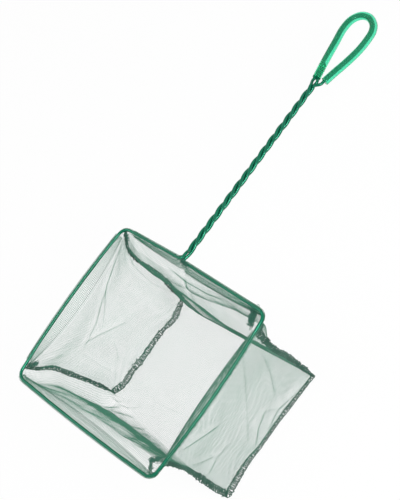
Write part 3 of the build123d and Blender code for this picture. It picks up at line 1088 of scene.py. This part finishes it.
def tuft(first, last, height, size, count, seed, spread):
    """Small loops of thread, packed along a short line between two pixels."""
    wave = np.random.default_rng(seed)
    turn = np.linspace(0, 2 * np.pi, 14)[:, None]
    loops = []
    for k in range(count):
        a, b = unit(wave.normal(size=3)), unit(wave.normal(size=3))
        share = (k + wave.uniform(-0.5, 0.5)) / count
        centre = below(first, height) * (1 - share) + below(last, height) * share + wave.normal(0, spread, 3)
        loops.append(centre + size * wave.uniform(0.6, 1.1) * (a * np.cos(turn) + b * np.sin(turn)))
    return loops


tuft_lines = [thread for knot in TUFTS for thread in tuft(*knot)]
tuft_normals = [carried_normals(thread) for thread in tuft_lines]
tufts = tubes("corner_thread_ends", tuft_lines, tuft_normals, TUFT_THREAD, TACK)

# %% [markdown]
# ## Light
# Soft light comes from all round, from a white sky. A round lamp beside the camera draws the highlights
# along the wire, and a weaker one on the other side opens the shadows. Neither shows through the sleeve.

# %% Lamps
LIT_POINT = np.array([0, -0.05, 0.06])


def lamp(name, place, size, watts):
    light = bpy.data.lights.new(name, "AREA")
    light.shape, light.size, light.energy = "DISK", size, watts
    holder = bpy.data.objects.new(name, light)
    back_axis = unit(np.array(place) - LIT_POINT)
    side = unit(np.cross([0, 0, 1], back_axis))
    axes = np.stack([side, np.cross(back_axis, side), back_axis, place], 1)
    holder.matrix_world = Matrix(axes.tolist() + [[0, 0, 0, 1]])
    holder.visible_transmission = False
    bpy.context.collection.objects.link(holder)
    print(name, "lamp of", watts, "watts")


lamp("key", place=(0.92, -0.02, 1.1), size=0.6, watts=15)
lamp("fill", place=(-0.9, -0.5, 1.1), size=0.6, watts=4)

# %% [markdown]
# The sky lights the net at a plain level, but the camera, a mirror and a clear tube should all see white.
# The Light Path node tells these rays apart, so the background can be white without more light.

# %% Sky
SKY_STRENGTH = 0.4
WHITE = (1, 1, 1, 1)
SEEN_RAYS = "Is Camera Ray", "Is Glossy Ray", "Is Transmission Ray"

world = bpy.data.worlds.new("studio")
bpy.context.scene.world = world
world.use_nodes = True
nodes, links = world.node_tree.nodes, world.node_tree.links
path = nodes.new("ShaderNodeLightPath")
sky, white, pick = nodes["Background"], nodes.new("ShaderNodeBackground"), nodes.new("ShaderNodeMixShader")
white.inputs["Color"].default_value = sky.inputs["Color"].default_value = WHITE
sky.inputs["Strength"].default_value = SKY_STRENGTH
two, three = nodes.new("ShaderNodeMath"), nodes.new("ShaderNodeMath")
two.operation = three.operation = "MAXIMUM"
for name, socket in zip(SEEN_RAYS, (two.inputs[0], two.inputs[1], three.inputs[1])):
    links.new(path.outputs[name], socket)
links.new(two.outputs[0], three.inputs[0])
links.new(three.outputs[0], pick.inputs[0])
links.new(sky.outputs[0], pick.inputs[1])
links.new(white.outputs[0], pick.inputs[2])
links.new(pick.outputs[0], nodes["World Output"].inputs[0])
print("sky strength", SKY_STRENGTH)

# %% [markdown]
# The floor is pale and keeps a trace of the net's shadow. It glows for the same three kinds of ray.

# %% Floor
FLOOR_SIZE, FLOOR_DROP = 6, 0.0005
FLOOR_GLOW = 0.94

bpy.ops.mesh.primitive_plane_add(size=FLOOR_SIZE, location=(0, 0, -FLOOR_DROP))
ground = bpy.context.object
ground.name = "ground"
t = Tree("ground")
rays = [t.node("ShaderNodeLightPath", name) for name in SEEN_RAYS]
seen = t.math("MAXIMUM", t.math("MAXIMUM", rays[0], rays[1]), rays[2])
t.set(Base_Color=(0.9, 0.9, 0.9, 1), Roughness=0.9)
glow = t.node("ShaderNodeEmission", Color=WHITE)
mixer = t.nodes.new("ShaderNodeMixShader")
t.put(mixer.inputs[0], seen * FLOOR_GLOW)
t.links.new(t.bsdf.outputs[0], mixer.inputs[1])
t.links.new(glow.socket, mixer.inputs[2])
t.links.new(mixer.outputs[0], t.nodes["Material Output"].inputs[0])
ground.data.materials.append(t.material)
print("floor of", FLOOR_SIZE, "m")

# %% [markdown]
# ## Bodies
# Nothing on the net moves, so every piece rides on the one body. Each dressed piece takes the place of the
# CAD solids that stood for it, which are hidden.

# %% Bodies
strands = "left_handle_strand", "right_handle_strand", "return_handle_strand"
stands = {
    wire: ("vinyl", "hoop_wire", *strands, "loop_wire", "tail_wire"),
    tube: ("sleeve", "loop_sleeve"),
    nets["near_wall_net"]: ("mesh", "handle_side_wall"),
    nets["far_wall_net"]: ("mesh", "far_side_wall"),
    nets["left_side_net"]: ("mesh", "left_gusset"),
    nets["right_side_net"]: ("mesh", "right_gusset"),
    nets["end_net"]: ("mesh", "end_panel"),
    hems["left_hem_net"]: ("mesh", "left_hem"),
    hems["right_hem_net"]: ("mesh", "right_hem"),
    hems["far_hem_net"]: ("mesh", "far_hem"),
    hems["near_hem_left_net"]: ("mesh", "handle_hem_left"),
    hems["near_hem_right_net"]: ("mesh", "handle_hem_right"),
    left_seam: ("thread", "left_overlock_seam"),
    right_seam: ("thread", "right_overlock_seam"),
    tufts: ("thread", "corner_tacks"),
}
for piece, (slot, *nodes_out) in stands.items():
    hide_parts(*nodes_out)
print("dressed pieces", len(stands) + 2)

# %% [markdown]
# The dressed pieces, the steel core and the hem stitches all ride on the one body.


for piece in [*stands, core, stitch]:
    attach(piece, "root")
